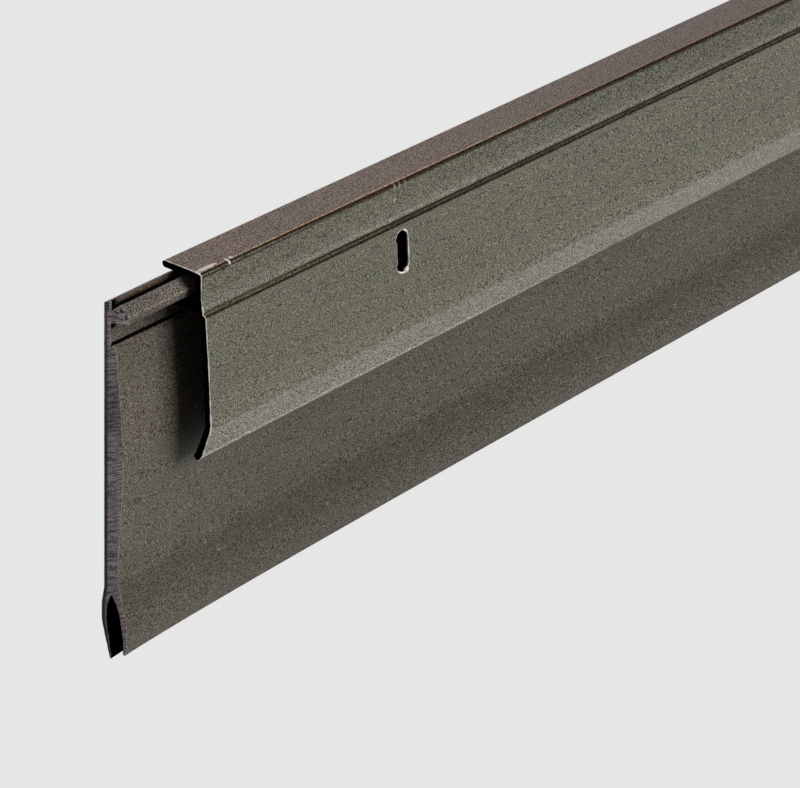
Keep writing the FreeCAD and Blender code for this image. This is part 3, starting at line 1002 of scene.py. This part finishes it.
@dataclass
class Insert:
    """The vinyl insert, skinned again round its packed section.

    Attributes:
        node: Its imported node.
        droop: How far the fins' tips hang below their straight line at the cut end, in millimetres.
        droop_reach: How quickly that dies away along the insert.
        droop_top: The height above which nothing droops.
        droop_height: Over this height the droop grows to its full size.
        head_sag: How far the head hangs at the cut end.
        head_reach: How quickly that dies away along the insert.
    """

    node: bpy.types.Object
    tree: BurrTree
    droop: float = 1.65
    droop_reach: float = 32.0
    droop_power: float = 0.8
    droop_top: float = -35.0
    droop_height: float = 18.0
    head_sag: float = 0.17
    head_reach: float = 11.0
    fine_rings: int = 26
    fine_length: float = 130.0
    coarse_rings: int = 12
    pieces: list[bpy.types.Object] = field(default_factory=list)

    CURLS: ClassVar[tuple[tuple[tuple[float, float], ...], ...]] = (
        ((1.45, 9.30), (1.60, 8.95), (2.00, 8.75), (2.80, 8.85), (3.60, 9.35)),
        ((0.45, 7.20), (1.00, 6.95), (1.40, 6.80)),
        ((1.60, 7.60), (2.60, 7.75), (3.60, 8.00), (4.50, 8.45)),
        ((0.75, 2.00), (1.20, 2.45), (1.60, 2.55)),
    )

    def sag(self, along: float, height: float) -> float:
        """Work out how far a point hangs below its straight line.

        Args:
            along: Distance from the near cut end, in millimetres.
            height: The point's height, in millimetres.

        Returns:
            The drop, in millimetres.
        """
        low = min(max((self.droop_top - height) / self.droop_height, 0.0), 1.0) ** 1.5
        high = min(max((height - 3.0) / 4.0, 0.0), 1.0)
        fins = self.droop * low * math.exp(-((along / self.droop_reach) ** self.droop_power))
        return fins + self.head_sag * high * math.exp(-((along / self.head_reach) ** 1.5))

    def stations(self, length: float) -> list[float]:
        """Choose the places of the rings, closer together near the cut end."""
        fine = [self.fine_length * (i / self.fine_rings) ** 2 for i in range(self.fine_rings)]
        step = (length - self.fine_length) / self.coarse_rings
        return fine + [self.fine_length + step * i for i in range(self.coarse_rings + 1)]

    def placed(self, point: Vector, along: float, start: float) -> Vector:
        """Put a point of the section at its place along the insert."""
        drop = self.sag(along, point.z / MM)
        rough = 0.0
        if along == 0.0:
            rough = 0.05 * noise.noise(Vector((3.0, point.y / MM * 2.5, point.z / MM * 1.3)))
        return Vector((start + (along + rough) * MM, point.y, point.z - drop * MM))

    def skin(self) -> bpy.types.Object:
        """Build the insert's mesh."""
        low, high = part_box("vinyl_insert")
        outline = end_outline(self.node, End.NEAR)
        size = len(outline)
        mesh = bmesh.new()
        section = mesh.verts.layers.float_vector.new("section")
        rings = []
        for along in self.stations((high.x - low.x) / MM):
            ring = [mesh.verts.new(self.placed(point, along, low.x)) for point in outline]
            for vertex, point in zip(ring, outline):
                vertex[section] = Vector((along, -point.y / MM, point.z / MM))
            rings.append(ring)
        for first, second in zip(rings, rings[1:]):
            for i in range(size):
                j = (i + 1) % size
                mesh.faces.new((first[i], first[j], second[j], second[i])).smooth = True
        caps = [mesh.faces.new(rings[0][::-1]), mesh.faces.new(rings[-1])]
        for cap in caps:
            cap.material_index = 1
        mesh.normal_update()
        bmesh.ops.triangulate(mesh, faces=caps, ngon_method="EAR_CLIP")
        bmesh.ops.recalc_face_normals(mesh, faces=mesh.faces)
        data = bpy.data.meshes.new("vinyl_insert_skin")
        mesh.to_mesh(data)
        mesh.free()
        data.set_sharp_from_angle(angle=math.radians(34))
        piece = bpy.data.objects.new("vinyl_insert_skin", data)
        bpy.context.scene.collection.objects.link(piece)
        return piece

    @staticmethod
    def burr_weight(point: Vector) -> float:
        """Choose how thick the burr is at a point of the cut end's outline."""
        out = -point.y / MM
        height = point.z / MM
        if height < -43.2:
            return 0.75 if out > 0.2 else 0.45
        if out < 0.25:
            return 0.15
        if height > 7.0:
            return 1.15 if out > 3.4 else 0.9
        return 1.4 if 1.6 < height < 3.0 else 0.7

    def end_burr(self, material: bpy.types.Material) -> bpy.types.Object:
        """Lay the pale burr along the cut end's edge, and its curls across the head."""
        low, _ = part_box("vinyl_insert")
        outline = end_outline(self.node, End.NEAR)
        line = [self.placed(point, 0.0, low.x) for point in outline]
        lines = [(line, True, [self.burr_weight(point) for point in outline])]
        for curl in self.CURLS:
            points = [self.placed(Vector((0.0, -out * MM, height * MM)), 0.0, low.x) for out, height in curl]
            lines.append((points, False, [0.5] + [0.9] * (len(curl) - 2) + [0.5]))
        bead = Bead(lines, 0.09 * MM, 0.18 * MM, 0.08 * MM, 0.6, 9.0)
        return bead.lay("insert_burr", self.tree, material)

    def build(self) -> list[bpy.types.Object]:
        """Make the insert's pieces."""
        piece = self.skin()
        piece.data.materials.append(VinylFinish().material("brown_vinyl_skin"))
        piece.data.materials.append(SawnVinyl().material("sawn_vinyl"))
        burr = self.end_burr(BurrVinyl().material("vinyl_burr"))
        self.pieces = [piece, burr]
        for each in self.pieces:
            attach(each, "insert")
        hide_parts("vinyl_insert")
        return self.pieces


@dataclass
class Studio:
    """A pale floor, soft light and the camera.

    Attributes:
        aim: The point at the middle of the picture, in metres.
        azimuth: The camera's direction round the part, in degrees.
        elevation: Its height above the horizon.
        roll: Its turn about its own axis.
        distance: From the camera to the aim.
        lens: Focal length on a 36 mm sensor.
    """

    aim: tuple[float, float, float] = (-0.391069, 0.001679, -0.037336)
    azimuth: float = -52.0610
    elevation: float = 26.9338
    roll: float = 2.2364
    distance: float = 0.700
    lens: float = 173.25
    floor_drop: float = 0.30
    pale: float = 0.791
    glow: float = 0.875
    ambient: float = 0.05

    def camera(self) -> bpy.types.Object:
        """Place the camera at the photograph's viewpoint."""
        turn = math.radians(self.azimuth)
        rise = math.radians(self.elevation)
        back = Vector((math.sin(turn) * math.cos(rise), -math.cos(turn) * math.cos(rise), math.sin(rise)))
        right = Vector((math.cos(turn), math.sin(turn), 0.0))
        basis = Matrix((right, back.cross(right), back)).transposed()
        data = bpy.data.cameras.new("camera")
        data.lens = self.lens
        data.sensor_width = 36.0
        data.clip_start = 0.01
        data.clip_end = 100.0
        camera = bpy.data.objects.new("camera", data)
        bpy.context.scene.collection.objects.link(camera)
        spin = Matrix.Rotation(math.radians(self.roll), 3, "Z")
        camera.matrix_world = Matrix.Translation(Vector(self.aim) + back * self.distance) @ (basis @ spin).to_4x4()
        bpy.context.scene.camera = camera
        return camera

    def lamp(
        self, name: str, place: Sequence[float], size: float, power: float, colour: Colour, shines: bool = False
    ) -> bpy.types.Object:
        """Hang a square soft light that points at the part's near half.

        Args:
            name: Its name.
            place: Where it hangs, from the middle of the near half.
            size: Its side, in metres.
            power: Its power, in watts.
            colour: Its colour.
            shines: Whether it also shows in reflections.

        Returns:
            The lamp.
        """
        data = bpy.data.lights.new(name, "AREA")
        data.shape = "SQUARE"
        data.size = size
        data.energy = power
        data.color = colour
        lamp = bpy.data.objects.new(name, data)
        bpy.context.scene.collection.objects.link(lamp)
        target = Vector((-0.25, 0.0, 0.0))
        lamp.location = target + Vector(place)
        lamp.visible_glossy = shines
        lamp.rotation_mode = "QUATERNION"
        lamp.rotation_quaternion = Vector(place).to_track_quat("Z", "Y")
        return lamp

    def world(self) -> None:
        """Make the surroundings: soft all round, darker high up and on the left."""
        world = bpy.data.worlds.new("studio")
        world.use_nodes = True
        bpy.context.scene.world = world
        graph = Graph(world.node_tree)
        background = world.node_tree.nodes["Background"]
        direction = graph.add("ShaderNodeTexCoord").outputs["Generated"]
        parts = graph.add("ShaderNodeSeparateXYZ", {0: direction}).outputs
        horizon = graph.step(parts[2], 0.22, 0.05)
        behind = graph.product(graph.step(parts[1], 0.30, 0.45), graph.step(parts[0], 0.2, 0.5))
        colour = graph.mix(horizon, (0.17, 0.15, 0.14), (0.95, 0.93, 0.93))
        colour = graph.mix(behind, colour, (0.72, 0.70, 0.73))
        away = graph.step(parts[0], 0.2, -0.3)
        colour = graph.mix(away, colour, (0.25, 0.24, 0.24))
        path = graph.add("ShaderNodeLightPath").outputs
        colour = graph.tint(colour, graph.grey(graph.spread(path["Is Diffuse Ray"], 1.0, self.ambient)))
        seen = path["Is Camera Ray"]
        graph.feed(background.inputs["Color"], graph.mix(seen, colour, (self.pale, self.pale, self.pale)))
        graph.feed(background.inputs["Strength"], 1.0)

    def floor(self) -> bpy.types.Object:
        """Lay the pale floor below the part."""
        material, graph, shader = new_material("pale_floor")
        graph.feed(shader.inputs["Base Color"], (0.05, 0.05, 0.05))
        graph.feed(shader.inputs["Roughness"], 0.9)
        path = graph.add("ShaderNodeLightPath").outputs
        glossy = graph.highest([path["Is Glossy Ray"], path["Is Transmission Ray"]])
        seen = graph.highest([path["Is Camera Ray"], glossy])
        place = graph.add("ShaderNodeTexCoord").outputs["Object"]
        depth = graph.add("ShaderNodeSeparateXYZ", {0: place}).outputs[1]
        near = graph.step(depth, -0.36, -0.14)
        far = graph.step(depth, -0.9, -1.5)
        sheen = graph.mix(graph.highest([near, far]), (0.64, 0.65, 0.60), (1.0, 0.97, 1.0))
        tone = graph.mix(glossy, (self.glow, self.glow, self.glow), sheen)
        glow = graph.add("ShaderNodeEmission", {"Color": tone, "Strength": 1.0})
        share = graph.math("MULTIPLY", seen, 0.9)
        mixed = graph.add("ShaderNodeMixShader", {0: share, 1: shader.outputs[0], 2: glow.outputs[0]})
        output = material.node_tree.nodes["Material Output"]
        graph.feed(output.inputs["Surface"], mixed.outputs[0])
        low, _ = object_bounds()
        reach = 30.0
        height = low.z - self.floor_drop
        corners = [(-reach, -reach, height), (reach, -reach, height), (reach, reach, height), (-reach, reach, height)]
        mesh = bpy.data.meshes.new("floor")
        mesh.from_pydata(corners, [], [(0, 1, 2, 3)])
        mesh.materials.append(material)
        floor = bpy.data.objects.new("floor", mesh)
        bpy.context.scene.collection.objects.link(floor)
        floor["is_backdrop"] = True
        return floor

    def build(self) -> None:
        """Set up the camera, the lights and the floor."""
        self.camera()
        self.world()
        self.floor()
        self.lamp("key", (0.545, -1.537, 0.761), 1.35, 33.0, (1.0, 1.0, 0.98))
        self.lamp("top", (0.35, -0.60, 1.65), 0.8, 10.0, (1.0, 0.98, 0.96))
        self.lamp("side", (-1.50, 0.33, 0.15), 0.6, 5.6, (1.0, 0.96, 0.98), True)
        self.lamp("back", (0.00, 1.75, 0.20), 1.35, 26.0, (1.0, 1.0, 0.98))
        bpy.context.scene.view_settings.view_transform = "Standard"


def main() -> None:
    """Build the sweep and its surroundings in order."""
    logging.basicConfig(level=logging.INFO, format="%(name)s: %(message)s")
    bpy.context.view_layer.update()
    tree = BurrTree()
    assemblies = [Carrier(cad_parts["aluminium_carrier"], tree), Insert(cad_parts["vinyl_insert"], tree)]
    for assembly in assemblies:
        for piece in assembly.build():
            LOG.info("%s: %d faces", piece.name, len(piece.data.polygons))
    Studio().build()


if __name__ == "__main__":
    main()
